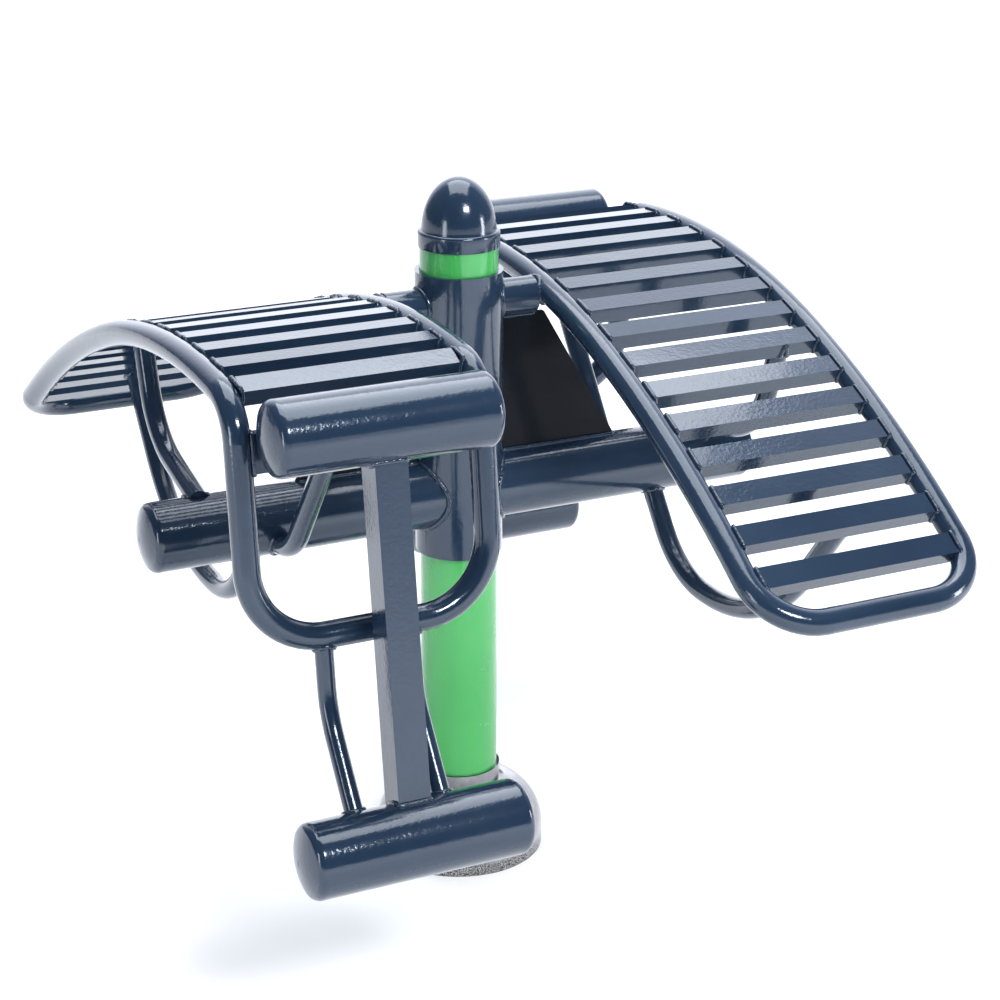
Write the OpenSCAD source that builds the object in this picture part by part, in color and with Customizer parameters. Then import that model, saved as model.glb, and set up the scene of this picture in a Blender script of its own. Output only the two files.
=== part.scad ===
// Double outdoor sit-up bench: two slatted, curved benches on one round post.
// Millimetres, +Z up, origin on the post's axis at ground level.
// Bench B lies towards +X with its foot end towards +Y. Bench A is the same
// bench turned half round the post.

/* [Post and sleeve] */
// Outside diameter of the upright post
post_d = 101.6; // [90:0.1:110]
// Wall thickness of the post
post_wall = 4; // [3:0.5:6]
// Height of the post's top end under the cap
post_top = 853; // [840:1:860]
// Outside diameter of the sleeve that carries the benches
sleeve_d = 114.3; // [112:0.1:120]
// Distance of the sleeve's top edge below the post's top end
sleeve_down = 46; // [40:1:60]
// Length of the sleeve
sleeve_len = 378; // [370:1:385]
// Radial clearance between the post and what slides over it
post_fit = 0.3; // [0.1:0.1:0.5]

/* [Post cap] */
// Outside diameter of the cap's skirt
cap_d = 106; // [106:0.5:112]
// How far the skirt reaches down past the post's top end
cap_overlap = 15; // [8:1:25]
// Height of the skirt
cap_skirt = 18; // [12:1:22]
// Outside diameter of the cap's dome
cap_dome_d = 97.6; // [94:0.1:102]
// Height of the cap over its skirt's lower edge
cap_h = 89; // [82:1:97]
// Thickness of the cap's dome
cap_wall = 3; // [2:0.5:5]

/* [Foot] */
// Diameter of the foot cover at the ground
cover_d = 226; // [215:1:240]
// Height of the cover's upright rim
cover_rim = 24; // [18:1:32]
// Radius of the cover's rounded shoulder
cover_round = 70; // [60:1:75]
// Diameter of the cover's collar round the post
cover_collar_d = 109; // [108:1:116]
// Height of the cover
cover_h = 117; // [108:1:130]
// Thickness of the cover's sheet
cover_wall = 2.5; // [1.5:0.5:3]
// Diameter of the post's foot flange
flange_d = 210; // [200:1:212]
// Thickness of the foot flange
flange_t = 12; // [8:1:16]
// Diameter of the circle through the flange's bolt holes
bolt_pcd = 165; // [155:1:175]
// Diameter of the flange's bolt holes
bolt_hole_d = 14; // [10:0.5:18]
// Number of bolt holes in the flange
bolt_count = 4; // [4:1:8]

/* [Main tube] */
// Outside diameter of the cross tube and of the rollers
beam_d = 88.9; // [80:0.1:92]
// Wall thickness of the cross tube and of the rollers
beam_wall = 4; // [3:0.5:6]
// Height of the cross tube's axis over the sleeve's lower edge
beam_rise = 80; // [70:1:90]
// Distance from the post's axis to the seam of the cross tube's end cap
beam_reach = 418; // [410:1:425]
// Radius of the round edge on each dished end cap
cap_edge = 11; // [8:0.5:14]
// Radius of the dished end cap's crown
cap_crown = 92; // [80:1:120]

/* [Bench frame] */
// Distance from the post's axis to the middle of each bench
bench_x = 270; // [266:1:274]
// Width of the bench between the axes of its two side tubes
bench_w = 298; // [294:1:304]
// Outside diameter of the bent frame tube
frame_d = 31.8; // [30:0.1:34]
// Distance of the head end's axis from the post's axis
head_y = 577; // [570:1:584]
// Distance of the head end's axis below the cross tube's axis
head_drop = 4; // [0:0.5:8]
// Slope of the bench at its head end, in degrees
head_slope = 34.3; // [33:0.1:35]
// Straight stretch of the side tubes at the head end
head_run = 80; // [76:1:90]
// Radius of the frame's two corners at the head end
head_corner = 75; // [60:1:76]
// Radius of the side tubes' long, flat bow along the back
back_r = 1525; // [1480:5:1570]
// Angle that the bow along the back turns through, in degrees
back_angle = 15.1; // [14.6:0.1:15.6]
// Radius of the side tubes' bow over the crest
crest_r = 960; // [945:5:975]
// Angle that the bow over the crest turns through, in degrees
crest_angle = 25.5; // [25:0.1:26]
// Radius of the tight bend from the crest down to the foot
bend_r = 54.5; // [50:0.5:60]
// Distance of the frame's foot stretch from the post's axis
foot_y = 347; // [342:1:352]
// Distance of the axis of the frame's lowest, foot stretch below the cross tube's axis
foot_drop = 12; // [4:1:19]
// Radius of the frame's two corners at the foot
foot_corner = 88; // [80:1:95]

/* [Slats] */
// Number of slats between the head end and the foot bend
slat_count = 15; // [15:1:15]
// Width of a slat along the bench
slat_w = 30; // [26:1:34]
// Thickness of a slat
slat_t = 20; // [16:1:24]
// Distance along the side tubes from the head end to the first slat
slat_first = 64.5; // [62:0.5:66]
// Distance of the last slat past the start of the knee bend, along the side tubes
slat_past = 12.1377; // [8:0.0001:14]
// Height of the slats' middle above the side tubes' axis
slat_lift = 3; // [0:0.5:5]
// Distance of the upright flat bar behind the knee roller from the side tubes' axis, to the front
knee_slat_lift = 1; // [0:0.5:1.5]
// Height of the upright flat bar behind the knee roller
knee_slat_h = 46; // [40:1:50]
// Distance of that bar's middle from the knee bend, down the side tubes
knee_slat_down = 13.145; // [12:0.005:16]
// Gap left for the weld where a member meets a round tube
weld_gap = 0.3; // [0.1:0.1:0.4]

/* [Rollers and foot bar] */
// Length of a roller over its dished ends
roller_len = 284; // [276:1:290]
// Angle round the foot bend at which the knee roller lies against it, in degrees
knee_angle = 13; // [8:1:20]
// Distance of the ankle roller's axis from the post's axis
ankle_y = 458; // [450:1:466]
// Distance of the ankle roller's axis below the cross tube's axis
ankle_drop = 231; // [220:1:239]
// Distance of the square bar's lower end behind the ankle roller's axis
bar_set_back = 14; // [0:1:20]
// Side of the square bar that joins the two rollers
bar_side = 40; // [36:1:44]
// Wall thickness of the square bar
bar_wall = 3; // [2:0.5:4]

/* [Struts] */
// Outside diameter of the bent struts under the bench
strut_d = 26.9; // [24:0.1:30]
// Outside diameter of the two thin struts between the frame and the ankle roller
leg_d = 22; // [19:0.5:24]
// Distance of the outer thin strut from the middle of the bench
leg_out = 64; // [60:1:70]
// Distance of the inner thin strut from the middle of the bench
leg_in = 44; // [36:1:60]
// Bend radius of the thin struts
leg_r = 120; // [100:5:130]
// Distance of the strut under the back from the post's axis, along the cross tube
back_strut_x = 358; // [350:1:362]
// Bend radius of the strut under the back
back_strut_r = 120; // [80:5:130]
// Distance of the deep strut to the head end from the post's axis
head_strut_x = 286; // [282:1:292]
// Depth of the deep strut's lowest run under the cross tube's axis
head_strut_drop = 140; // [136:1:146]
// Distance of the strut to the crest from the post's axis
crest_strut_x = 265; // [258:1:272]
// Bend radius of the strut to the crest
crest_strut_r = 90; // [60:5:100]

/* [Head stay] */
// Outside diameter of the stay from the sleeve to the bench frame
stay_d = 48.3; // [44:0.1:50]
// Distance of the stay's axis below the sleeve's top edge
stay_down = 45; // [39:1:51]
// Thickness of the corner plate under the stay
plate_t = 8; // [6:0.5:10]
// Reach of the corner plate along the cross tube
plate_reach = 228; // [215:1:240]

/* [Hidden] */
$fn = 64;

half = 0.5;
right_angle = 90;
half_turn = 180;
// How far a cutting tool runs past what it cuts
overrun_share = 0.05;
overrun = post_d * overrun_share;
// Facets of a long bow for each time that its radius holds the frame tube's
bow_facets = 4;

steel_green = [0.24, 0.72, 0.27];
steel_grey = [0.20, 0.26, 0.33];
steel_bare = [0.62, 0.65, 0.67];

post_r = post_d * half;
sleeve_r = sleeve_d * half;
cap_low = post_top - cap_overlap;
sleeve_top = post_top - sleeve_down;
sleeve_low = sleeve_top - sleeve_len;
beam_z = sleeve_low + beam_rise;
stay_z = sleeve_top - stay_down;
beam_r = beam_d * half;
frame_r = frame_d * half;
stay_r = stay_d * half;

// Depth of a dished end cap with a round edge and a spherical crown
dish_drop = sqrt(pow(cap_crown - cap_edge, 2) - pow(beam_r - cap_edge, 2));
dish_h = cap_crown - dish_drop;

// Side tubes of the bench, drawn as [y, z] from the head end to the foot end
function along(angle) = [cos(angle), sin(angle)];
function across(angle) = [-sin(angle), cos(angle)];
function arc_len(radius, angle) = radius * angle * PI / half_turn;

crest_slope = head_slope - back_angle;
bend_slope = crest_slope - crest_angle;
head_point = [-head_y, beam_z - head_drop];
back_start = head_point + head_run * along(head_slope);
back_centre = back_start - back_r * across(head_slope);
crest_start = back_centre + back_r * across(crest_slope);
crest_centre = crest_start - crest_r * across(crest_slope);
bend_start = crest_centre + crest_r * across(bend_slope);
bend_centre = bend_start - bend_r * across(bend_slope);

foot_point = [foot_y, beam_z - foot_drop];
foot_from_bend = foot_point - bend_centre;
foot_angle = atan2(foot_from_bend.y, foot_from_bend.x) - asin(bend_r / norm(foot_from_bend));
bend_turn = bend_slope - foot_angle;
bend_end = bend_centre + bend_r * across(foot_angle);

// The knee roller lies against the foot bend; the square bar runs from it to the ankle roller
knee_point = bend_centre + (bend_r + frame_r + beam_r + weld_gap) * along(knee_angle);
ankle_point = [ankle_y, beam_z - ankle_drop];
bar_foot = ankle_point - [bar_set_back, 0];
bar_angle = atan2(bar_foot.y - knee_point.y, bar_foot.x - knee_point.x);

back_from = head_run;
crest_from = back_from + arc_len(back_r, back_angle);
bend_from = crest_from + arc_len(crest_r, crest_angle);

// Slope and place on the side tubes' axis, at a distance from the head end
function slope_at(s) =
  s < back_from ? head_slope
  : s < crest_from ? head_slope - (s - back_from) / arc_len(back_r, 1)
  : s < bend_from ? crest_slope - (s - crest_from) / arc_len(crest_r, 1)
  : bend_slope - (s - bend_from) / arc_len(bend_r, 1);
function point_at(s) =
  s < back_from ? head_point + s * along(head_slope)
  : s < crest_from ? back_centre + back_r * across(slope_at(s))
  : s < bend_from ? crest_centre + crest_r * across(slope_at(s))
  : bend_centre + bend_r * across(slope_at(s));
slat_pitch = (bend_from + slat_past - slat_first) / (slat_count - 1);
function slat_s(number) = slat_first + (number - 1) * slat_pitch;

knee_slat_point = bend_end + knee_slat_down * along(foot_angle);

slat_len = bench_w - frame_d - 2 * weld_gap;
inner_tube_x = bench_x - bench_w * half;

// Slats that the bent struts end under
crest_slat = slat_count;
head_slat = 2;
back_slat = 7;

// Points that the struts' axes are drawn through, along the bench and up from the cross
// tube's axis, as shares of its diameter. The deep strut's low run has its own height.
back_shares = [[0, 0.45], [-1.78, 0.86]];
head_start_shares = [0, -0.3];
head_low_shares = [-0.98, -3.43];
head_bend_shares = [1.575, 3.25];
crest_shares = [[0, -0.33], [0.94, -0.125], [2.36, 1.8]];
// Point of a thin strut's axis past the foot stretch and below it, as shares of its diameter
leg_shares = [0.6, -4.1];

// Ends of the struts' axes, run past the slat's underside that they are cut to
function strut_end(number) = point_at(slat_s(number)) + slat_w * across(slope_at(slat_s(number)));
function beside_beam(shares) = [0, beam_z] + beam_d * shares;

// Bent struts, as [y, z] points of their axes
head_low = beam_z - head_strut_drop;
back_path = [beside_beam(back_shares[0]), beside_beam(back_shares[1]), strut_end(back_slat)];
head_path = [
  beside_beam(head_start_shares),
  [beam_d * head_low_shares[0], head_low],
  [beam_d * head_low_shares[1], head_low],
  strut_end(head_slat)
];
crest_path = [
  beside_beam(crest_shares[0]), beside_beam(crest_shares[1]), beside_beam(crest_shares[2]),
  strut_end(crest_slat)
];
leg_path = [foot_point, foot_point + leg_d * leg_shares, ankle_point];

// The stretches of a bent tube stop a hair short of each other and a collar joins them
lap_share = 1 / 30;
lap_gap_share = 1 / 5;
lap_rise_share = 1 / 20;
lap = frame_d * lap_share;
lap_gap = lap * lap_gap_share;
lap_rise = lap * lap_rise_share;

// A bent tube is a list of steps. Each is [straight run, roll, bend radius, bend angle].
function heading(path, i) = atan2(path[i + 1].y - path[i].y, path[i + 1].x - path[i].x);
function wrapped(angle) = angle > half_turn ? angle - 2 * half_turn
  : angle < -half_turn ? angle + 2 * half_turn : angle;
function turn_at(path, i) = wrapped(heading(path, i) - heading(path, i - 1));
function inner_point(path, i) = i > 0 && i < len(path) - 1;
function trim_at(path, i, radii) =
  inner_point(path, i) ? radii[i - 1] * tan(abs(turn_at(path, i)) * half) : 0;
function path_steps(path, radii) = [
  for (i = [0:len(path) - 2])
    [norm(path[i + 1] - path[i]) - trim_at(path, i, radii) - trim_at(path, i + 1, radii),
     0, radii[i], inner_point(path, i + 1) ? turn_at(path, i + 1) : 0]
];
frame_steps = [
  [bench_w * half - head_corner, 0, head_corner, right_angle],
  [head_run - head_corner, right_angle, back_r, -back_angle],
  [0, 0, crest_r, -crest_angle],
  [0, 0, bend_r, -bend_turn],
  [norm(foot_point - bend_end) - foot_corner, -right_angle, foot_corner, right_angle],
  [bench_w * half - foot_corner, 0, 0, 0]
];

// Stands what follows in the plane across the post, with its X along Y and its Y along Z
module upright() {
  rotate([right_angle, 0, right_angle])
    children();
}

// Round bend that starts at the origin, heading along X
module bend(radius, turn, d) {
  short = lap_gap / arc_len(radius, 1);
  facets = $fn;
  mirror([0, turn < 0 ? 1 : 0, 0])
    translate([0, radius, 0])
      rotate([0, 0, -right_angle])
        rotate_extrude(angle = abs(turn) - short, $fn = max(facets, ceil(bow_facets * radius / frame_r)))
          translate([radius, 0])
            circle(d = d, $fn = facets);
}

// Hair-high collar that bridges the gap where two stretches of a tube meet
module collar(d) {
  rotate([0, right_angle, 0])
    cylinder(h = lap, d = d + 2 * lap_rise, center = true);
}

// Bent tube that starts along X. Each step is drawn in the place where the last one ends
module tube(steps, d, i = 0) {
  run = steps[i][0];
  roll = steps[i][1];
  radius = steps[i][2];
  turn = steps[i][3];
  side = sign(turn);
  if (run > 0)
    rotate([0, right_angle, 0])
      cylinder(h = run - lap_gap, d = d);
  if (turn != 0)
    translate([run, 0, 0])
      rotate([roll, 0, 0]) {
        if (run > 0)
          collar(d);
        bend(radius, turn, d);
        translate([0, side * radius, 0])
          rotate([0, 0, turn])
            translate([0, -side * radius, 0]) {
              collar(d);
              tube(steps, d, i + 1);
            }
      }
}

// Tube bent at each inner point of a path in the upright plane
module bent_tube(path, radii, d) {
  upright()
    translate(path[0])
      rotate([0, 0, heading(path, 0)])
        tube(path_steps(path, radii), d);
}

module side_a() {
  rotate([0, 0, half_turn])
    children();
}

module across_bench(length, d) {
  rotate([0, right_angle, 0])
    cylinder(h = length, d = d, center = true);
}

module at_point(point) {
  translate([bench_x, point.x, point.y])
    children();
}

module base_flange() {
  color(steel_bare)
    difference() {
      cylinder(h = flange_t, d = flange_d);
      for (i = [0:bolt_count - 1])
        rotate([0, 0, (i + half) * 2 * half_turn / bolt_count])
          translate([bolt_pcd * half, 0, -overrun])
            cylinder(h = flange_t + 2 * overrun, d = bolt_hole_d);
    }
}

module post() {
  color(steel_green)
    translate([0, 0, flange_t])
      difference() {
        cylinder(h = post_top - flange_t, d = post_d);
        translate([0, 0, -overrun])
          cylinder(h = post_top + overrun, d = post_d - 2 * post_wall);
      }
}

// Outline of the foot cover, drawn in by a distance
module cover_outline(inset) {
  outer = cover_d * half - inset;
  round_r = cover_round - inset;
  square([outer, cover_rim]);
  translate([cover_d * half - cover_round, cover_rim])
    intersection() {
      circle(r = round_r);
      square(round_r);
    }
  square([cover_d * half - cover_round, cover_rim + round_r]);
}

module foot_cover() {
  bore = post_r + post_fit;
  color(steel_bare)
    rotate_extrude()
      difference() {
        union() {
          cover_outline(0);
          square([cover_collar_d * half, cover_h]);
        }
        translate([0, -overrun])
          square([bore, cover_h + 2 * overrun]);
        cover_outline(cover_wall);
        translate([0, -overrun])
          square([cover_d * half - cover_wall, overrun + cover_wall]);
      }
}

// Outline of the cap's dome, drawn in by a distance, from the skirt's top up
module dome_outline(inset) {
  dome_r = cap_dome_d * half - inset;
  rise = cap_h - cap_dome_d * half;
  square([dome_r, rise]);
  translate([0, rise])
    intersection() {
      circle(r = dome_r);
      square(dome_r);
    }
}

module post_cap() {
  bead = (cap_d - cap_dome_d) * half;
  color(steel_grey)
    translate([0, 0, cap_low])
      rotate_extrude()
        difference() {
          union() {
            square([cap_d * half, cap_skirt]);
            translate([cap_dome_d * half, cap_skirt])
              intersection() {
                circle(r = bead);
                square(bead);
              }
            dome_outline(0);
          }
          dome_outline(cap_wall);
          translate([0, -overrun])
            square([post_r + post_fit, cap_overlap + post_fit + overrun]);
        }
}

module sleeve() {
  color(steel_grey)
    translate([0, 0, sleeve_low])
      difference() {
        cylinder(h = sleeve_len, d = sleeve_d);
        translate([0, 0, -overrun])
          cylinder(h = sleeve_len + 2 * overrun, r = post_r + post_fit);
      }
}

// What the sleeve takes up, with the gap for the weld
module sleeve_space() {
  translate([0, 0, sleeve_low - overrun])
    cylinder(h = sleeve_len + 2 * overrun, r = sleeve_r + weld_gap);
}

module beam() {
  color(steel_grey)
    difference() {
      translate([0, 0, beam_z])
        rotate([0, right_angle, 0])
          cylinder(h = beam_reach, d = beam_d);
      translate([0, 0, beam_z])
        rotate([0, right_angle, 0])
          cylinder(h = beam_reach + overrun, d = beam_d - 2 * beam_wall);
      sleeve_space();
    }
}

// Dished end cap that closes a tube of the cross tube's diameter; its seam is at zero
module dished_cap() {
  rim_x = beam_r - cap_edge;
  tangent = atan2(dish_drop, rim_x);
  far = 2 * cap_crown;
  rotate_extrude()
    intersection() {
      union() {
        translate([rim_x, 0])
          circle(r = cap_edge);
        translate([0, -dish_drop])
          intersection() {
            circle(r = cap_crown);
            polygon([[0, 0], far * [cos(tangent), sin(tangent)], [0, far]]);
          }
      }
      square([beam_r, cap_crown]);
    }
}

module end_caps() {
  reach = roller_len * half - dish_h;
  color(steel_grey) {
    translate([beam_reach, 0, beam_z])
      rotate([0, right_angle, 0])
        dished_cap();
    for (point = [knee_point, ankle_point])
      for (side = [-1, 1])
        at_point(point)
          translate([side * reach, 0, 0])
            rotate([0, side * right_angle, 0])
              dished_cap();
  }
}

module roller(point) {
  length = roller_len - 2 * dish_h;
  color(steel_grey)
    at_point(point)
      difference() {
        across_bench(length, beam_d);
        across_bench(length + overrun, beam_d - 2 * beam_wall);
      }
}

module stay() {
  length = inner_tube_x - frame_r - weld_gap;
  color(steel_grey)
    difference() {
      translate([0, 0, stay_z])
        rotate([0, right_angle, 0])
          cylinder(h = length, d = stay_d);
      sleeve_space();
    }
}

module corner_plate() {
  low = beam_z + beam_r + weld_gap;
  high = stay_z - stay_r - weld_gap;
  near = sleeve_r + weld_gap;
  color(steel_grey)
    translate([0, plate_t * half, 0])
      rotate([right_angle, 0, 0])
        linear_extrude(plate_t)
          polygon([[near, low], [plate_reach, low], [inner_tube_x, high], [near, high]]);
}

module bench_frame() {
  color(steel_grey) {
    at_point(foot_point)
      collar(frame_d);
    at_point(head_point)
      rotate([head_slope, 0, 0])
        for (side = [0, 1])
          mirror([side, 0, 0])
            tube(frame_steps, frame_d);
  }
}

// What the frame's head corners take up, with the gap for the weld
module head_corner_space() {
  corner_steps = [frame_steps[0], [slat_first, 0, 0, 0]];
  at_point(head_point)
    rotate([head_slope, 0, 0])
      for (side = [0, 1])
        mirror([side, 0, 0])
          tube(corner_steps, frame_d + 2 * weld_gap);
}

module slat(number) {
  s = slat_s(number);
  color(steel_grey)
    difference() {
      at_point(point_at(s))
        rotate([slope_at(s), 0, 0])
          translate([0, 0, slat_lift])
            cube([slat_len, slat_w, slat_t], center = true);
      if (number == 1)
        head_corner_space();
    }
}

module knee_slat() {
  color(steel_grey)
    at_point(knee_slat_point)
      rotate([foot_angle + right_angle, 0, 0])
        translate([0, knee_slat_lift, 0])
          cube([slat_len, slat_t, knee_slat_h], center = true);
}

module corner_plates() {
  corner_plate();
  side_a()
    corner_plate();
}

module knee_slats() {
  knee_slat();
  side_a()
    knee_slat();
}

// Space of a roller and its end caps, with the gap for the weld
module roller_space(point) {
  at_point(point)
    across_bench(roller_len, beam_d + 2 * weld_gap);
}

module foot_bar() {
  span = norm(bar_foot - knee_point);
  hollow = bar_side - 2 * bar_wall;
  color(steel_grey)
    difference() {
      at_point(knee_point)
        rotate([bar_angle, 0, 0])
          translate([0, span * half, 0])
            difference() {
              cube([bar_side, span, bar_side], center = true);
              cube([hollow, span + overrun, hollow], center = true);
            }
      roller_space(knee_point);
      roller_space(ankle_point);
    }
}

module foot_struts() {
  color(steel_grey)
    difference() {
      for (x = [-leg_in, leg_out])
        translate([bench_x + x, 0, 0])
          bent_tube(leg_path, [leg_r], leg_d);
      at_point(foot_point)
        across_bench(bench_w, frame_d + 2 * weld_gap);
      roller_space(ankle_point);
    }
}

// Bent strut from the cross tube to a slat
module strut(x, path, radii) {
  color(steel_grey)
    difference() {
      translate([x, 0, 0])
        bent_tube(path, radii, strut_d);
      translate([0, 0, beam_z])
        rotate([0, right_angle, 0])
          cylinder(h = beam_reach, d = beam_d + 2 * weld_gap);
    }
}

// Cuts the end of a strut to the plane of a slat's underside
module under_slat(number) {
  s = slat_s(number);
  deep = bench_w * half;
  difference() {
    children();
    at_point(point_at(s))
      rotate([slope_at(s), 0, 0])
        translate([-bench_w * half, -deep * half, slat_lift - slat_t * half - weld_gap])
          cube([bench_w, deep, deep]);
  }
}

module back_strut() {
  under_slat(back_slat)
    strut(back_strut_x, back_path, [back_strut_r]);
}

module head_strut() {
  under_slat(head_slat)
    strut(head_strut_x, head_path, beam_d * head_bend_shares);
}

module crest_strut() {
  under_slat(crest_slat)
    strut(crest_strut_x, crest_path, crest_strut_r * [1, 1]);
}

base_flange();
post();
foot_cover();
post_cap();
sleeve();
side_a() beam();  // beam_a
beam();  // beam_b
side_a() stay();  // stay_a
stay();  // stay_b
corner_plates();
side_a() bench_frame();  // frame_a
bench_frame();  // frame_b
knee_slats();
side_a() roller(knee_point);  // knee_roller_a
roller(knee_point);  // knee_roller_b
side_a() roller(ankle_point);  // ankle_roller_a
roller(ankle_point);  // ankle_roller_b
side_a() end_caps();  // end_caps_a
end_caps();  // end_caps_b
side_a() foot_bar();  // foot_bar_a
foot_bar();  // foot_bar_b
side_a() foot_struts();  // foot_struts_a
foot_struts();  // foot_struts_b
side_a() back_strut();  // back_strut_a
back_strut();  // back_strut_b
side_a() head_strut();  // head_strut_a
head_strut();  // head_strut_b
side_a() crest_strut();  // crest_strut_a
crest_strut();  // crest_strut_b
side_a() slat(1);  // slat_a_01
side_a() slat(2);  // slat_a_02
side_a() slat(3);  // slat_a_03
side_a() slat(4);  // slat_a_04
side_a() slat(5);  // slat_a_05
side_a() slat(6);  // slat_a_06
side_a() slat(7);  // slat_a_07
side_a() slat(8);  // slat_a_08
side_a() slat(9);  // slat_a_09
side_a() slat(10);  // slat_a_10
side_a() slat(11);  // slat_a_11
side_a() slat(12);  // slat_a_12
side_a() slat(13);  // slat_a_13
side_a() slat(14);  // slat_a_14
side_a() slat(15);  // slat_a_15
slat(1);  // slat_b_01
slat(2);  // slat_b_02
slat(3);  // slat_b_03
slat(4);  // slat_b_04
slat(5);  // slat_b_05
slat(6);  // slat_b_06
slat(7);  // slat_b_07
slat(8);  // slat_b_08
slat(9);  // slat_b_09
slat(10);  // slat_b_10
slat(11);  // slat_b_11
slat(12);  // slat_b_12
slat(13);  // slat_b_13
slat(14);  // slat_b_14
slat(15);  // slat_b_15
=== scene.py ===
import math
import random
from collections import namedtuple

import bpy
from mathutils import Matrix, Vector
from mathutils.bvhtree import BVHTree


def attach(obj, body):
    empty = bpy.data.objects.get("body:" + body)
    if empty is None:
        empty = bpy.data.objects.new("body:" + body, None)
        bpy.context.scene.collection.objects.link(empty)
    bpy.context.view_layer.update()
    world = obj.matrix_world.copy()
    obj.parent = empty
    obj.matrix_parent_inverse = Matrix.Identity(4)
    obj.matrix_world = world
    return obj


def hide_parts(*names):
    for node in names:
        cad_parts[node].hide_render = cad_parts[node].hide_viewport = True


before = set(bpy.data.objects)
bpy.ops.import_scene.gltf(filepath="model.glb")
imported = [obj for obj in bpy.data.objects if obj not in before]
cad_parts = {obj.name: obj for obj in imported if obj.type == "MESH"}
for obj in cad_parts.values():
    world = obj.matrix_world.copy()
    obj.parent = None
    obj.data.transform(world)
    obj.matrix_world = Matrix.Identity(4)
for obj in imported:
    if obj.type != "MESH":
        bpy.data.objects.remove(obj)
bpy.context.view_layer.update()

MM = 0.001
SHARP_ANGLE = math.radians(40)
scene = bpy.context.scene

# Camera, worked out from the photograph: metres and radians, lens and sensor in millimetres
EYE = Vector((-1.30181, -2.7706, 1.61928))
YAW, PITCH, ROLL = 0.4694, 0.31222, 0.00862
LENS, SENSOR = 89.2677, 36.0
SHIFT = (-0.03, -0.10)
CLIP = (0.1, 60)


def add_camera():
    """The camera at EYE, turned right by YAW, tipped down by PITCH and rolled by ROLL."""
    level = math.cos(PITCH)
    ahead = Vector((math.sin(YAW) * level, math.cos(YAW) * level, -math.sin(PITCH)))
    right = Vector((math.cos(YAW), -math.sin(YAW), 0))
    up = right.cross(ahead)
    turned_right = right * math.cos(ROLL) + up * math.sin(ROLL)
    turned_up = up * math.cos(ROLL) - right * math.sin(ROLL)
    axes = Matrix((turned_right, turned_up, -ahead)).transposed().to_4x4()
    data = bpy.data.cameras.new("camera")
    data.lens, data.sensor_width = LENS, SENSOR
    data.shift_x, data.shift_y = SHIFT
    data.clip_start, data.clip_end = CLIP
    camera = bpy.data.objects.new("camera", data)
    camera.matrix_world = Matrix.Translation(EYE) @ axes
    scene.collection.objects.link(camera)
    scene.camera = camera


# Materials: noises in waves per metre, bumps with their depth in metres
Noise = namedtuple("Noise", "scale detail rough")
Bump = namedtuple("Bump", "strength distance")
TONE_DRIFT, GLOSS_DRIFT = Noise(6, 3, 0.5), Noise(18, 4, 0.6)
ORANGE_PEEL, PEEL_BUMP = Noise(230, 2, 0.5), Bump(0.40, 0.0006)
COAT_WAVES, WAVE_BUMP = Noise(60, 2, 0.5), Bump(0.16, 0.0012)
CLOUDS, WEAR, SPECKLE = Noise(14, 5, 0.6), Noise(40, 5, 0.7), Noise(700, 2, 0.5)
GRAIN, GRAIN_BUMP = Noise(300, 3, 0.6), Bump(0.15, 0.0003)
NOISE_LOW, NOISE_HIGH = 0.3, 0.7
LOW_SPECKLE_STOPS = [(0.45, (0.02, 0.02, 0.02)), (0.56, (0.5, 0.5, 0.5))]
LOW_SPECKLE_FADE = 0.7
COAT_GLOSS_SHARES, STEEL_GLOSS_SHARES = (0.8, 1.3), (0.7, 1.4)
COAT_SHARE = 0.9
COOL_GLOSS = {
    "Specular Tint": (0.78, 0.88, 1.0, 1),
    "Coat Tint": (0.94, 0.97, 1.0, 1),
    "Coat Roughness": 0.08,
}


def new_material(name):
    material = bpy.data.materials.new(name)
    material.use_nodes = True
    tree = material.node_tree
    return material, tree, tree.nodes["Principled BSDF"]


def set_inputs(node, values):
    for name, value in values.items():
        node.inputs[name].default_value = value


def grey(value):
    return (value, value, value)


def greys(value, shares):
    return [grey(value * share) for share in shares]


def object_coords(tree):
    return tree.nodes.new("ShaderNodeTexCoord").outputs["Object"]


def noise(tree, kind, coords):
    node = tree.nodes.new("ShaderNodeTexNoise")
    set_inputs(node, {"Scale": kind.scale, "Detail": kind.detail, "Roughness": kind.rough})
    tree.links.new(coords, node.inputs["Vector"])
    return node.outputs["Fac"]


def ramp(tree, value, stops):
    """A colour ramp with its stops given from low to high."""
    node = tree.nodes.new("ShaderNodeValToRGB")
    bar = node.color_ramp.elements
    bar.remove(bar[-1])
    for i, (place, color) in enumerate(stops):
        stop = bar.new(place) if i else bar[0]
        stop.position = place
        stop.color = (*color, 1)
    tree.links.new(value, node.inputs["Fac"])
    return node.outputs["Color"]


def patches(tree, kind, coords, low, high):
    """Soft patches of noise between two colours."""
    return ramp(tree, noise(tree, kind, coords), [(NOISE_LOW, low), (NOISE_HIGH, high)])


def bump(tree, value, kind, before=None):
    node = tree.nodes.new("ShaderNodeBump")
    set_inputs(node, {"Strength": kind.strength, "Distance": kind.distance})
    tree.links.new(value, node.inputs["Height"])
    if before is not None:
        tree.links.new(before, node.inputs["Normal"])
    return node.outputs["Normal"]


def math_node(tree, operation, first, second):
    node = tree.nodes.new("ShaderNodeMath")
    node.operation = operation
    tree.links.new(first, node.inputs[0])
    tree.links.new(second, node.inputs[1])
    return node.outputs[0]


def mix_colors(tree, share, first, second):
    """The first colour where the share is 0, and the second where it is 1."""
    node = tree.nodes.new("ShaderNodeMix")
    node.data_type = "RGBA"
    # The colour sockets share their names with those for numbers, so they go by index
    color_a, color_b, result = node.inputs[6], node.inputs[7], node.outputs[2]
    tree.links.new(share, node.inputs[0])
    tree.links.new(first, color_a)
    tree.links.new(second, color_b)
    return result


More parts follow.
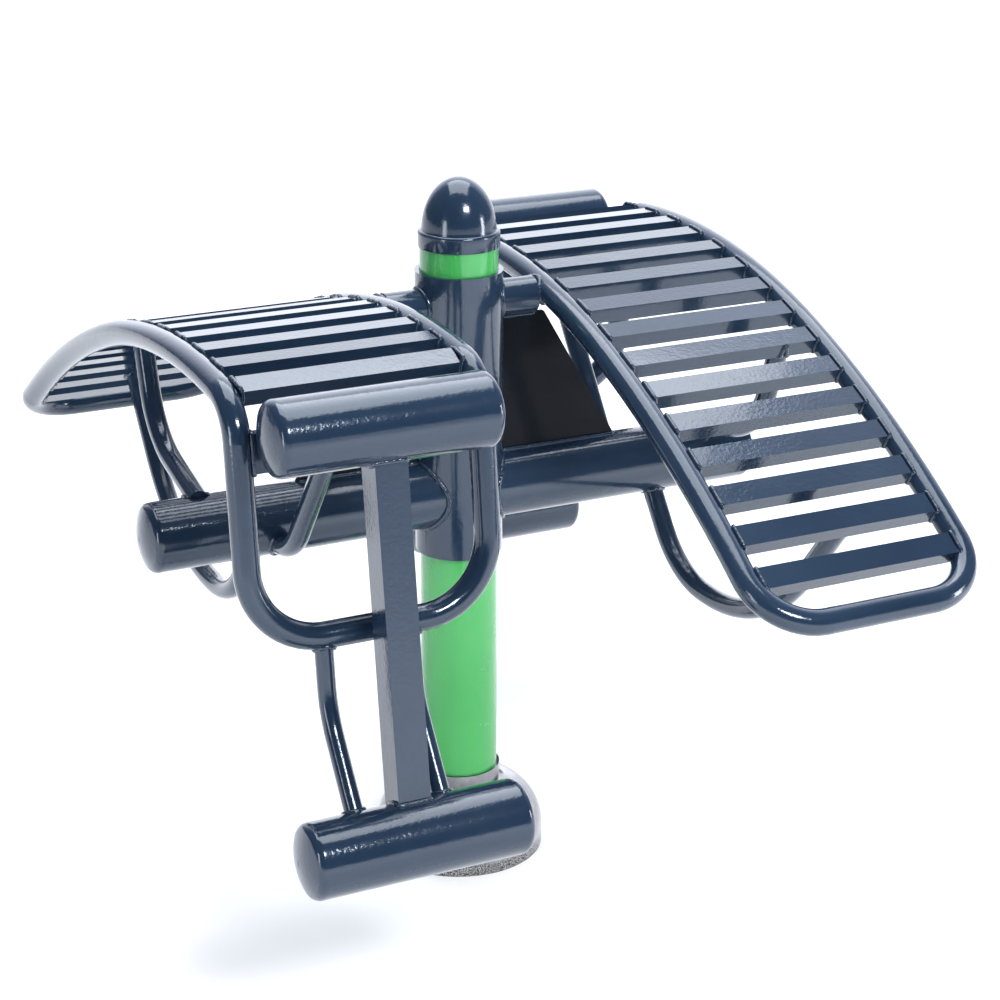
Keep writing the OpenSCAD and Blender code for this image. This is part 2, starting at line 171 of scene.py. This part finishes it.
def powder_coat(name, dark, light, rough, sheen=0.5):
    """Glossy powder coat: slow tone drift, orange peel and a little uneven gloss."""
    material, tree, shader = new_material(name)
    coords = object_coords(tree)
    tone = patches(tree, TONE_DRIFT, coords, dark, light)
    gloss = patches(tree, GLOSS_DRIFT, coords, *greys(rough, COAT_GLOSS_SHARES))
    peel = bump(tree, noise(tree, ORANGE_PEEL, coords), PEEL_BUMP)
    waves = bump(tree, noise(tree, COAT_WAVES, coords), WAVE_BUMP, peel)
    tree.links.new(tone, shader.inputs["Base Color"])
    tree.links.new(gloss, shader.inputs["Roughness"])
    tree.links.new(waves, shader.inputs["Normal"])
    set_inputs(shader, COOL_GLOSS)
    set_inputs(shader, {"Specular IOR Level": sheen, "Coat Weight": sheen * COAT_SHARE})
    return material


def bare_steel(name, dark, light, rough, rim=0):
    """Cloudy polished or galvanised steel, with dark grey speckles below the height of the rim."""
    material, tree, shader = new_material(name)
    coords = object_coords(tree)
    tone = patches(tree, CLOUDS, coords, dark, light)
    gloss = patches(tree, WEAR, coords, *greys(rough, STEEL_GLOSS_SHARES))
    # Below the rim height the steel's tone fades into dark grey speckles
    if rim:
        place = tree.nodes.new("ShaderNodeSeparateXYZ")
        tree.links.new(coords, place.inputs[0])
        band = ramp(tree, place.outputs["Z"], [(rim * LOW_SPECKLE_FADE, grey(1)), (rim, grey(0))])
        low_speckle = ramp(tree, noise(tree, SPECKLE, coords), LOW_SPECKLE_STOPS)
        tone = mix_colors(tree, band, tone, low_speckle)
    tree.links.new(tone, shader.inputs["Base Color"])
    tree.links.new(gloss, shader.inputs["Roughness"])
    tree.links.new(bump(tree, noise(tree, GRAIN, coords), GRAIN_BUMP), shader.inputs["Normal"])
    set_inputs(shader, {"Metallic": 1})
    return material


GREY = powder_coat("grey_paint", (0.012, 0.026, 0.052), (0.018, 0.036, 0.067), 0.13)
# The corner plates carry the same grey paint as the rest; this near-black, dull copy of it is
# painted shade for the shadow that falls on them
PLATES_PAINTED_SHADE = powder_coat("grey_paint_plates_painted_shade", (0.003, 0.004, 0.006), (0.005, 0.006, 0.010), 0.35, 0.08)
GREEN = powder_coat("green_paint", (0.050, 0.40, 0.080), (0.070, 0.46, 0.100), 0.22)
COVER = bare_steel("polished_cover", (0.14, 0.14, 0.15), (0.50, 0.50, 0.52), 0.14, rim=0.018)
FLANGE = bare_steel("galvanised_flange", (0.45, 0.47, 0.48), (0.6, 0.61, 0.62), 0.4)
BY_NODE = {"post": GREEN, "foot_cover": COVER, "base_flange": FLANGE, "corner_plates": PLATES_PAINTED_SHADE}
CUT_BARS = ("slat_", "knee_slats", "foot_bar_", "corner_plates")
EDGE_ROUND, EDGE_SEGMENTS = 0.003, 4


def finish_nodes():
    """Each CAD node's material, and rounded edges on bars and plates."""
    for name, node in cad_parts.items():
        node.data.materials.clear()
        node.data.materials.append(BY_NODE.get(name, GREY))
        if name.startswith(CUT_BARS):
            rounding = node.modifiers.new("rounding", "BEVEL")
            rounding.width = EDGE_ROUND
            rounding.segments = EDGE_SEGMENTS
            rounding.limit_method = "ANGLE"
            rounding.angle_limit = SHARP_ANGLE


# Sizes of the steelwork that the welds follow, in millimetres and degrees, as in the part's source
BENCH_X, BENCH_W, FRAME_R = 270, 298, 15.9
BEAM_R, BEAM_Z, SLEEVE_R = 44.45, 509, 57.15
STAY_Z, STAY_R, PLATE_T, PLATE_REACH = 762, 24.15, 8, 228
STRUT_R, LEG_R = 13.45, 11
HEAD_Y, HEAD_Z, HEAD_SLOPE, HEAD_RUN = 577, 505, 34.3, 80
BACK_R, BACK_TURN, CREST_R, CREST_TURN, BEND_R = 1525, 15.1, 960, 25.5, 54.5
FOOT, ANKLE = Vector((347, 497)), Vector((458, 278))
SLAT_COUNT, SLAT_FIRST, SLAT_PITCH = 15, 64.5, 61.2
SLAT_W, SLAT_T, SLAT_LIFT = 30, 20, 3
KNEE_SLAT_Z, KNEE_SLAT_H, KNEE_SLAT_LIFT = 718, 46, 1
KNEE_ANGLE, BAR_SET_BACK, BAR_SIDE = 13, 14, 40
BACK_STRUT_X, HEAD_STRUT_X, CREST_STRUT_X, HEAD_DEPTH = 358, 286, 265, 140
LEG_OUT, LEG_IN = 64, 44
WELD_GAP = 0.3
BEAM_D, LEG_D = 2 * BEAM_R, 2 * LEG_R
HEAD_LOW = BEAM_Z - HEAD_DEPTH

# Beads: radius of each kind in millimetres, and how a bead's thickness varies along it
BEAM_BEAD, STAY_BEAD, BENCH_BEAD = 3.4, 3.0, 4.0
PLATE_BEAD, STRUT_BEAD, BAR_BEAD, SLAT_BEAD = 2.8, 3.0, 3.2, 2.7
KNEE_BEAD, KNEE_BEAD_EXTRA, KNEE_BEAD_HALF = 3, 1.5, 122
BEAD_SIDES, BEAD_STEP, BEAD_LEAST_RINGS = 8, 1.6, 6
RIPPLE_LENGTHS, RIPPLE_DEPTH, LUMP = (3.2, 4.2), 0.14, 0.09
TIP_SHARE = 0.35
TINY = 1e-9

# A ring of rays finds each joint. They start RAY_BACK radii behind its centre, which is given in
# millimetres: an x place, a distance short of the member's end, or one from the square bar's
# middle. They run BEAD_STANDOFF radii of the bead outside the member.
RAY_BACK, RAY_LENGTH = 2, 8
BEAD_STANDOFF = 0.25
SQUARE_CORNER = 1.36
MOSTLY_X = 0.9
LEAST_RUN = 3
RAYS_BEAM, RAYS_TUBE, RAYS_ROD, RAYS_BAR = 72, 48, 40, 64
BEAM_AIM_X, STAY_AIM_X, BENCH_AIM_X = 120, 90, 70
BEAM_SHORT, SLAT_SHORT, BENCH_SHORT, ANKLE_SHORT, BAR_AIM = 20, 30, 20, 60, 120


def along(angle):
    return Vector((math.cos(math.radians(angle)), math.sin(math.radians(angle))))


def across(angle):
    return Vector((-math.sin(math.radians(angle)), math.cos(math.radians(angle))))


class Profile:
    """The side tubes' axis as (y, z) points, worked out as in the part's source."""

    def __init__(self):
        self.crest_slope = HEAD_SLOPE - BACK_TURN
        self.bend_slope = self.crest_slope - CREST_TURN
        self.head = Vector((-HEAD_Y, HEAD_Z))
        start = self.head + HEAD_RUN * along(HEAD_SLOPE)
        self.back_centre = start - BACK_R * across(HEAD_SLOPE)
        crest = self.back_centre + BACK_R * across(self.crest_slope)
        self.crest_centre = crest - CREST_R * across(self.crest_slope)
        bend = self.crest_centre + CREST_R * across(self.bend_slope)
        self.bend_centre = bend - BEND_R * across(self.bend_slope)
        away = FOOT - self.bend_centre
        self.foot_angle = math.degrees(math.atan2(away.y, away.x) - math.asin(BEND_R / away.length))
        self.bend_end = self.bend_centre + BEND_R * across(self.foot_angle)
        self.crest_start = HEAD_RUN + BACK_R * math.radians(BACK_TURN)

    def slope(self, s):
        """The tube's slope at a distance s along it from the head end."""
        if s < HEAD_RUN:
            return HEAD_SLOPE
        if s < self.crest_start:
            return HEAD_SLOPE - math.degrees((s - HEAD_RUN) / BACK_R)
        return self.crest_slope - math.degrees((s - self.crest_start) / CREST_R)

    def point(self, s):
        """The axis point at a distance s along the tube, as far as the knee bend."""
        if s < HEAD_RUN:
            return self.head + s * along(HEAD_SLOPE)
        if s < self.crest_start:
            return self.back_centre + BACK_R * across(self.slope(s))
        return self.crest_centre + CREST_R * across(self.slope(s))

    def knee_slat(self):
        """Middle of the upright flat bar, on the straight run below the knee bend."""
        run = (KNEE_SLAT_Z - self.bend_end.y) / math.tan(math.radians(self.foot_angle))
        return Vector((self.bend_end.x + run, KNEE_SLAT_Z))


PROFILE = Profile()
KNEE = PROFILE.bend_centre + (BEND_R + FRAME_R + BEAM_R + WELD_GAP) * along(KNEE_ANGLE)


def slat_s(number):
    """How far along the side tube a slat sits, counted from 1 at the head end."""
    return SLAT_FIRST + (number - 1) * SLAT_PITCH


def slat_end(number):
    """Where a strut's axis ends, past the underside of its slat."""
    s = slat_s(number)
    return PROFILE.point(s) + SLAT_W * across(PROFILE.slope(s))


def beside_beam(out, up):
    """A (y, z) point beside the cross tube's axis, in shares of the tube's diameter."""
    return Vector((BEAM_D * out, BEAM_Z + BEAM_D * up))


# Axes of struts, short of their slats, and of foot rods as (y, z) points, as in the part's source
Strut = namedtuple("Strut", "x slat path")
STRUTS = [
    Strut(BACK_STRUT_X, 7, [beside_beam(0, 0.45), beside_beam(-1.78, 0.86)]),
    Strut(HEAD_STRUT_X, 2, [beside_beam(0, -0.3), Vector((-BEAM_D * 0.98, HEAD_LOW)),
                            Vector((-BEAM_D * 3.43, HEAD_LOW))]),
    Strut(CREST_STRUT_X, 15, [beside_beam(0, -0.33), beside_beam(0.94, -0.125),
                              beside_beam(2.36, 1.8)]),
]
LEG = [FOOT, FOOT + LEG_D * Vector((0.6, -4.1)), ANKLE]


def surface(name):
    """A search tree of a CAD node's faces, to lay welds on."""
    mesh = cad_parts[name].data
    return BVHTree.FromPolygons([v.co.copy() for v in mesh.vertices],
                                [tuple(p.vertices) for p in mesh.polygons])


def new_object(name, verts, faces, smooth=True):
    """A linked mesh object, with its points in metres."""
    mesh = bpy.data.meshes.new(name)
    mesh.from_pydata(verts, [], faces)
    mesh.polygons.foreach_set("use_smooth", [smooth] * len(mesh.polygons))
    made = bpy.data.objects.new(name, mesh)
    scene.collection.objects.link(made)
    return made


def paint_and_ride(piece):
    """Grey paint and the body that the steelwork belongs to."""
    piece.data.materials.append(GREY)
    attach(piece, "root")


class Beads:
    """Collects weld beads and turns them into one mesh."""

    def __init__(self, name, seed):
        self.name = name
        self.random = random.Random(seed)
        self.verts = []
        self.faces = []

    def add(self, path, radius, closed=False):
        """A rippled, lumpy bead along a path of points in millimetres."""
        points = [Vector(p) for p in path]
        if closed:
            points.append(points[0].copy())
        walk = [0.0]
        for p, q in zip(points, points[1:]):
            walk.append(walk[-1] + (q - p).length)
        total = walk[-1]
        count = max(BEAD_LEAST_RINGS, int(total / BEAD_STEP))
        rings = count if closed else count + 1
        ripple = self.random.uniform(*RIPPLE_LENGTHS)
        phase = self.random.uniform(0, math.tau)
        base = len(self.verts)
        k = 0
        for i in range(rings):
            s = total * i / count
            while k < len(walk) - 2 and walk[k + 1] < s:
                k += 1
            part = (s - walk[k]) / max(walk[k + 1] - walk[k], TINY)
            wave = RIPPLE_DEPTH * math.sin(phase + math.tau * s / ripple)
            size = radius * (1 + wave + self.random.uniform(-LUMP, LUMP))
            if not closed:
                size *= min(1, TIP_SHARE + (1 - TIP_SHARE) * min(s, total - s) / radius)
            ahead = (points[k + 1] - points[k]).normalized()
            self.add_circle(points[k].lerp(points[k + 1], part), ahead, size)
        self.add_skin(base, rings, closed)

    def add_circle(self, centre, ahead, size):
        """One ring of a bead's points."""
        side = ahead.orthogonal().normalized()
        up = ahead.cross(side)
        for j in range(BEAD_SIDES):
            turn = math.tau * j / BEAD_SIDES
            self.verts.append((centre + size * (math.cos(turn) * side + math.sin(turn) * up)) * MM)

    def add_skin(self, base, rings, closed):
        """The faces between a bead's rings, and over the two tips of an open bead."""
        sides = BEAD_SIDES
        for i in range(rings if closed else rings - 1):
            here, there = base + i * sides, base + ((i + 1) % rings) * sides
            twist = self.twist(here, there)
            for j in range(sides):
                self.faces.append((here + j, here + (j + 1) % sides,
                                   there + (j + 1 + twist) % sides, there + (j + twist) % sides))
        if not closed:
            last = base + (rings - 1) * sides
            self.faces.append(tuple(range(base + sides - 1, base - 1, -1)))
            self.faces.append(tuple(range(last, last + sides)))

    def twist(self, here, there):
        """How many points the next ring is turned by against this one."""
        first = self.verts[here]
        return min(range(BEAD_SIDES), key=lambda j: (self.verts[there + j] - first).length)

    def ring(self, tree, centre, direction, radius, size, rays, square=False):
        """A bead where a round or square member, seen along its axis, meets a surface."""
        centre, direction = Vector(centre), Vector(direction).normalized()
        side = Vector((1, 0, 0)) if abs(direction.x) < MOSTLY_X else Vector((0, 1, 0))
        up = direction.cross(side).normalized()
        side = up.cross(direction).normalized()
        runs, run = [], []
        for i in range(rays):
            turn = math.tau * i / rays
            reach = radius
            if square:
                reach /= max(abs(math.cos(turn)), abs(math.sin(turn)))
                reach = min(reach, radius * SQUARE_CORNER)
            out = side * math.cos(turn) + up * math.sin(turn)
            start = centre + out * (reach + size * BEAD_STANDOFF) - direction * radius * RAY_BACK
            hit = tree.ray_cast(start * MM, direction, radius * RAY_LENGTH * MM)[0]
            if hit is not None:
                run.append(hit / MM)
            elif run:
                runs.append(run)
                run = []
        if run:
            runs.append(run)
        if len(runs) == 1 and len(runs[0]) == rays:
            self.add(runs[0], size, closed=True)
            return
        if len(runs) > 1:
            runs.append(runs.pop() + runs.pop(0))
        for run in runs:
            if len(run) > LEAST_RUN:
                self.add(run, size)

    def toward(self, tree, x, start, end, radius, short):
        """A bead where a rod that runs from start to end meets a surface, short of its end."""
        go = Vector((0, *(end - start))).normalized()
        self.ring(tree, Vector((x, *end)) - go * short, go, radius, STRUT_BEAD, RAYS_ROD)

    def finish(self, turned):
        """The collected beads as one object, turned half round the post for bench A."""
        sign = -1 if turned else 1
        verts = [(sign * v.x, sign * v.y, v.z) for v in self.verts]
        paint_and_ride(new_object(self.name, verts, self.faces))


def straight(p, q, step=4):
    """Points from p to q, about a step apart."""
    p, q = Vector(p), Vector(q)
    parts = max(2, int((q - p).length / step))
    return [p.lerp(q, i / parts) for i in range(parts + 1)]


def rounded_rectangle(half_w, half_t, corner=3, steps=8, spacing=3):
    """Points round a rectangle with rounded corners."""
    points = []
    for k, (sx, sy) in enumerate(((1, 1), (-1, 1), (-1, -1), (1, -1))):
        for i in range(steps + 1):
            turn = math.radians(90) * (k + i / steps)
            points.append(Vector((sx * (half_w - corner) + corner * math.cos(turn),
                                  sy * (half_t - corner) + corner * math.sin(turn))))
    dense = []
    for p, q in zip(points, points[1:] + points[:1]):
        parts = max(1, int((q - p).length / spacing))
        dense += [p.lerp(q, i / parts) for i in range(parts)]
    return dense


def bar_ends(beads, point, slope, width, thick, lift):
    """A bead round each end of a flat bar, in the groove between it and the side tube."""
    stand_w, stand_t, sink, clear = 0.6, 0.4, 0.45, 0.2
    go, rise = along(slope), across(slope)
    for side in (-1, 1):
        path = []
        for u, h in rounded_rectangle(width / 2 + stand_w, thick / 2 + stand_t):
            height = lift + h
            groove = FRAME_R - math.sqrt(max(FRAME_R ** 2 - height ** 2, 0))
            x = BENCH_W / 2 - FRAME_R + groove * sink + clear
            at = point + u * go + height * rise
            path.append((BENCH_X + side * x, at.x, at.y))
        beads.add(path, SLAT_BEAD, closed=True)


def slat_welds(beads):
    """Beads round both ends of every slat and of the upright flat bar."""
    for number in range(1, SLAT_COUNT + 1):
        s = slat_s(number)
        bar_ends(beads, PROFILE.point(s), PROFILE.slope(s), SLAT_W, SLAT_T, SLAT_LIFT)
    bar_ends(beads, PROFILE.knee_slat(), PROFILE.foot_angle, KNEE_SLAT_H, SLAT_T, KNEE_SLAT_LIFT)


def tube_welds(beads, bench):
    """Beads where the cross tube and the stay meet the sleeve, and the stay the bench."""
    sleeve, outward, inward = surface("sleeve"), (1, 0, 0), (-1, 0, 0)
    past_tube = 4
    beads.ring(sleeve, (BEAM_AIM_X, 0, BEAM_Z), inward, BEAM_R, BEAM_BEAD, RAYS_BEAM)
    beads.ring(sleeve, (STAY_AIM_X, 0, STAY_Z), inward, STAY_R, STAY_BEAD, RAYS_TUBE)
    beads.ring(bench, (BENCH_AIM_X, 0, STAY_Z), outward, STAY_R - past_tube, BENCH_BEAD, RAYS_TUBE)


def plate_welds(beads):
    """Beads along three edges of the corner plate, on both of its faces."""
    off, sink, clear, past_bench = 1, 0.5, 3, 14
    low, high = BEAM_Z + BEAM_R, STAY_Z - STAY_R
    near, far = SLEEVE_R + off, BENCH_X - BENCH_W / 2 - past_bench
    for y in (-PLATE_T / 2 - off, PLATE_T / 2 + off):
        lower = (near + off, y, low + off), (PLATE_REACH - off, y, low + sink)
        upright = (near, y, low + clear), (near, y, high - clear)
        upper = (near + off, y, high - sink), (far, y, high - sink)
        beads.add(straight(*lower), BEAM_BEAD)
        beads.add(straight(*upright), PLATE_BEAD)
        beads.add(straight(*upper), PLATE_BEAD)


def strut_welds(beads, bench, ankle):
    """Beads at both ends of every strut and foot rod."""
    beam = surface("beam_b")
    for strut in STRUTS:
        x, number, path = strut
        slat = surface(f"slat_b_{number:02d}")
        beads.toward(beam, x, path[1], path[0], STRUT_R, BEAM_SHORT)
        beads.toward(slat, x, path[-1], slat_end(number), STRUT_R, SLAT_SHORT)
    for x in (BENCH_X - LEG_IN, BENCH_X + LEG_OUT):
        beads.toward(bench, x, LEG[1], LEG[0], LEG_R, BENCH_SHORT)
        beads.toward(ankle, x, LEG[1], LEG[2], LEG_R, ANKLE_SHORT)


def knee_seam(beads):
    """A long bead that fills the gap between the upright flat bar and the knee roller."""
    slope = PROFILE.foot_angle
    corner = PROFILE.knee_slat() - KNEE_SLAT_H / 2 * along(slope)
    corner += (SLAT_T / 2 + KNEE_SLAT_LIFT) * across(slope)
    away = KNEE - corner
    half_gap = (away.length - BEAM_R) / 2
    seam = corner + away.normalized() * half_gap
    ends = [(BENCH_X + side * KNEE_BEAD_HALF, *seam) for side in (-1, 1)]
    beads.add(straight(*ends), max(half_gap + KNEE_BEAD_EXTRA, KNEE_BEAD))


def foot_bar_welds(beads, ankle):
    """Beads round both ends of the square bar between the rollers."""
    bar_foot = ANKLE - Vector((BAR_SET_BACK, 0))
    down = Vector((0, *(bar_foot - KNEE))).normalized()
    middle = Vector((BENCH_X, *((KNEE + bar_foot) / 2)))
    for roller, go in ((ankle, down), (surface("knee_roller_b"), -down)):
        aim = middle + go * BAR_AIM
        beads.ring(roller, aim, go, BAR_SIDE / 2, BAR_BEAD, RAYS_BAR, square=True)


def frame_welds(beads):
    """All beads but those of the slats."""
    bench, ankle = surface("frame_b"), surface("ankle_roller_b")
    tube_welds(beads, bench)
    plate_welds(beads)
    strut_welds(beads, bench, ankle)
    knee_seam(beads)
    foot_bar_welds(beads, ankle)


def add_welds():
    """The welds of bench B, and of bench A by half a turn round the post."""
    for turned, bench in enumerate(("b", "a")):
        for kind, lay, seed in (("slat_welds_", slat_welds, 11), ("frame_welds_", frame_welds, 21)):
            beads = Beads(kind + bench, seed + turned)
            lay(beads)
            beads.finish(turned)


def lathe(name, profile, sides=96):
    """Closed outline of (radius, height) points in millimetres, turned round the post."""
    verts, rings = [], []
    for radius, height in profile:
        count = sides if radius > 0 else 1
        rings.append((len(verts), count))
        for j in range(count):
            turn = math.tau * j / sides
            verts.append((radius * MM * math.cos(turn), radius * MM * math.sin(turn), height * MM))
    faces = []
    for (low, n_low), (high, n_high) in zip(rings, rings[1:] + rings[:1]):
        if n_low == n_high == 1:
            continue
        for j in range(sides):
            k = (j + 1) % sides
            corners = (low + j % n_low, low + k % n_low, high + k % n_high, high + j % n_high)
            faces.append(tuple(dict.fromkeys(corners)))
    made = new_object(name, verts, faces)
    made.data.set_sharp_from_angle(angle=SHARP_ANGLE)
    return made


# The cap, in millimetres and degrees: heights are from the ground, and the edge's points from
# the skirt's lower corner
CAP_LOW, CAP_SKIRT_R, CAP_SKIRT_H, CAP_ROLL, CAP_ROLL_STEPS = 838, 53, 17.5, 4.2, 8
CAP_DOME_R, CAP_DOME_Z, CAP_RISE, CAP_WALL = 48.4, 857, 70, 3
CAP_DOME_START, CAP_DOME_STEPS = 4, 40
CAP_BORE_R, CAP_BORE_TOP = 51.1, 853.3
CAP_EDGE = [(-0.8, 0), (-0.2, 0.3), (0, 1)]


def arc(centre_r, centre_z, radius, rise, turns):
    """Points of a round or drawn-up arc, at the given turns."""
    return [(centre_r + radius * math.cos(t), centre_z + rise * math.sin(t)) for t in turns]


def post_cap():
    """Cap with a rolled skirt and a dome that is drawn up to a blunt point."""
    top = CAP_DOME_Z + CAP_RISE
    inner_r, inner_rise = CAP_DOME_R - CAP_WALL, CAP_RISE - CAP_WALL
    quarter = [math.radians(90) * i / CAP_ROLL_STEPS for i in range(CAP_ROLL_STEPS + 1)]
    dome = [math.radians(CAP_DOME_START + (90 - CAP_DOME_START) * i / CAP_DOME_STEPS)
            for i in range(CAP_DOME_STEPS)]
    profile = [(CAP_BORE_R, CAP_LOW)]
    profile += [(CAP_SKIRT_R + r, CAP_LOW + z) for r, z in CAP_EDGE]
    profile += arc(CAP_SKIRT_R - CAP_ROLL, CAP_LOW + CAP_SKIRT_H, CAP_ROLL, CAP_ROLL, quarter)
    profile += arc(0, CAP_DOME_Z, CAP_DOME_R, CAP_RISE, dome)
    profile += [(0, top), (0, top - CAP_WALL)]
    profile += arc(0, CAP_DOME_Z, inner_r, inner_rise, dome[::-1])
    profile += [(inner_r, CAP_BORE_TOP), (CAP_BORE_R, CAP_BORE_TOP)]
    cap = lathe("cap_shell", profile)
    paint_and_ride(cap)
    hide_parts("post_cap")


# Floor, in metres from the post: its glow rises from low to high, to a white background
FLOOR_REACH = 80
GLOW_FROM, GLOW_TO, GLOW_LOW, GLOW_HIGH = 0.9, 3.5, 0.12, 0.80


def seen_only(tree, value):
    """The value for rays that see the floor, and 0 for those by which it would light the object."""
    rays = tree.nodes.new("ShaderNodeLightPath").outputs
    seen = rays["Is Camera Ray"]
    for kind in ("Is Glossy Ray", "Is Transmission Ray"):
        seen = math_node(tree, "MAXIMUM", seen, rays[kind])
    return math_node(tree, "MULTIPLY", seen, value)


def add_floor():
    """A pale floor that turns white with distance."""
    signs = ((-1, -1), (1, -1), (1, 1), (-1, 1))
    corners = [(x * FLOOR_REACH, y * FLOOR_REACH, 0) for x, y in signs]
    floor = new_object("floor", corners, [(0, 1, 2, 3)], smooth=False)
    material, tree, shader = new_material("floor")
    set_inputs(shader, {
        "Base Color": (0.93, 0.94, 0.95, 1),
        "Roughness": 0.9,
        "Specular IOR Level": 0.1,
        "Emission Color": (1, 1, 1, 1),
    })
    distance = tree.nodes.new("ShaderNodeVectorMath")
    distance.operation = "LENGTH"
    tree.links.new(object_coords(tree), distance.inputs[0])
    glow = tree.nodes.new("ShaderNodeMapRange")
    set_inputs(glow, {
        "From Min": GLOW_FROM,
        "From Max": GLOW_TO,
        "To Min": GLOW_LOW,
        "To Max": GLOW_HIGH,
    })
    tree.links.new(distance.outputs["Value"], glow.inputs["Value"])
    tree.links.new(seen_only(tree, glow.outputs["Result"]), shader.inputs["Emission Strength"])
    floor.data.materials.append(material)


# World: the direction of its bright side, and its colours from the far side to that one
BRIGHT_SIDE = (0.44, 0.80, 0.41)
WORLD_TONES = [
    (0.15, (0.05, 0.06, 0.09)),
    (0.60, (0.12, 0.14, 0.19)),
    (0.80, (0.22, 0.25, 0.33)),
    (0.93, (1.6, 1.65, 1.85)),
    (1.0, (2.3, 2.35, 2.5)),
]


def add_world():
    """Bright behind and above the bench, dim on the camera's side."""
    world = bpy.data.worlds.new("world")
    world.use_nodes = True
    tree = world.node_tree
    dot = tree.nodes.new("ShaderNodeVectorMath")
    dot.operation = "DOT_PRODUCT"
    dot.inputs[1].default_value = BRIGHT_SIDE
    tree.links.new(tree.nodes.new("ShaderNodeTexCoord").outputs["Generated"], dot.inputs[0])
    spread = tree.nodes.new("ShaderNodeMapRange")
    set_inputs(spread, {"From Min": -1})
    tree.links.new(dot.outputs["Value"], spread.inputs["Value"])
    tone = ramp(tree, spread.outputs["Result"], WORLD_TONES)
    tree.links.new(tone, tree.nodes["Background"].inputs["Color"])
    scene.world = world


# Area lights: name, place and target and size in metres, power in watts
LIGHTS = [
    ("top", (0.2, 0.4, 3.6), (0, 0, 0.4), (3.0, 3.0), 130),
    ("front", (0.2, -3.4, 3.0), (0, 0, 0.5), (1.2, 0.7), 110),
    ("left", (-3.0, -1.2, 0.9), (0, 0, 0.6), (0.6, 1.2), 16),
    ("right", (2.6, -2.0, 0.9), (0, 0, 0.6), (0.5, 1.1), 26),
]


def add_light(name, place, target, size, power):
    data = bpy.data.lights.new(name, "AREA")
    data.shape = "RECTANGLE"
    data.size, data.size_y = size
    data.energy = power
    light = bpy.data.objects.new(name, data)
    light.location = place
    light.rotation_euler = (Vector(target) - Vector(place)).to_track_quat("-Z", "Y").to_euler()
    scene.collection.objects.link(light)


finish_nodes()
add_welds()
post_cap()
add_camera()
add_floor()
add_world()
for light in LIGHTS:
    add_light(*light)
scene.view_settings.view_transform = "Standard"
